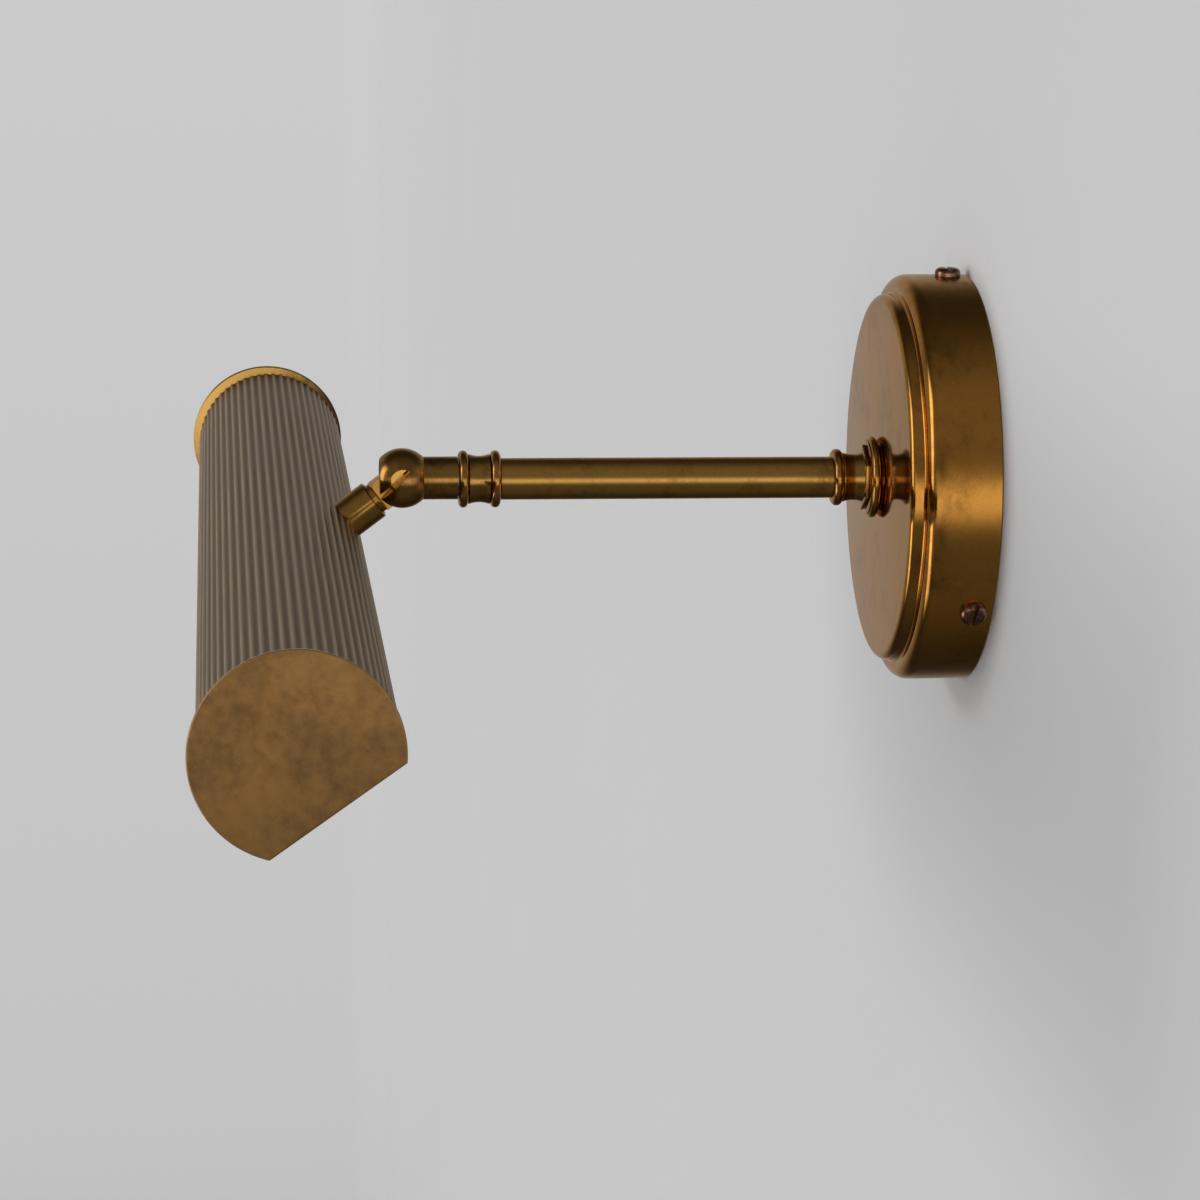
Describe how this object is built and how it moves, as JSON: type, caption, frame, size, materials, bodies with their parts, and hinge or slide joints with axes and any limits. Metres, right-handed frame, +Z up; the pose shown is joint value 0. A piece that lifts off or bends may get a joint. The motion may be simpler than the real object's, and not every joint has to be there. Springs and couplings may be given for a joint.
{
  "type": "picture light",
  "caption": "Wall-mounted picture light: a round stepped rose and straight arm carry a long fluted half-round shade on a ball knuckle that tilts it over a picture.",
  "frame": {"origin": "centre of the wall plate's back face, on the wall", "axes": "+Z up; +Y into the wall, so the arm runs out along -Y; +X along the shade, to the right of someone who faces the wall"},
  "size_m": [0.37, 0.19, 0.1023],
  "materials": {
    "aged_brass": "aged and lacquered, satin",
    "bright_brass": "plain, turned",
    "dark_bronze": "chemically darkened, satin",
    "grey_bronze": "fluted, darkened and lacquered outside, white inside",
    "zinc_steel": "zinc plated",
    "black_plastic": "moulded, matte",
    "white_plastic": "moulded, satin",
    "porcelain": "glazed ceramic",
    "opal_glass": "opal, smooth",
    "lead_sheath": "smooth sheath"
  },
  "bodies": {
    "wall_unit": {"wall_plate": "zinc_steel", "rose_cover": "aged_brass", "cover_screw_1": "dark_bronze", "cover_screw_2": "dark_bronze", "cover_screw_3": "dark_bronze", "entry_grommet": "black_plastic", "terminal_block": "white_plastic", "terminal_screw_1": "zinc_steel", "terminal_screw_2": "zinc_steel", "terminal_screw_3": "zinc_steel", "earth_tag": "bright_brass", "earth_screw": "bright_brass", "rose_lead_right": "lead_sheath", "rose_lead_left": "lead_sheath", "rose_nipple": "zinc_steel", "rose_washer": "zinc_steel", "rose_nut": "bright_brass", "seat_ring": "aged_brass", "lock_nut": "aged_brass", "rear_collar": "aged_brass", "arm_tube": "aged_brass", "front_collar": "aged_brass", "front_nipple": "zinc_steel", "arm_lead": "lead_sheath", "knuckle_ball": "aged_brass", "pivot_screw": "bright_brass"},
    "shade_head": {"knuckle_tongue": "aged_brass", "stub_sleeve": "aged_brass", "shade_nipple": "zinc_steel", "shade_tube": "grey_bronze", "end_cap_right": "aged_brass", "end_cap_left": "aged_brass", "shade_saddle": "zinc_steel", "lamp_bracket": "zinc_steel", "shade_nut": "bright_brass", "shade_lead_right": "lead_sheath", "shade_lead_left": "lead_sheath", "lampholder_right": "porcelain", "holder_nut_right": "bright_brass", "lamp_cap_right": "zinc_steel", "lamp_glass_right": "opal_glass", "lampholder_left": "porcelain", "holder_nut_left": "bright_brass", "lamp_cap_left": "zinc_steel", "lamp_glass_left": "opal_glass"}
  },
  "joints": [
    {"name": "knuckle_tilt", "type": "hinge", "parent": "wall_unit", "child": "shade_head", "pos_m": [0, -0.1385, 0], "axis": [1, 0, 0], "range_deg": [-37.4, 52.6]}
  ]
}
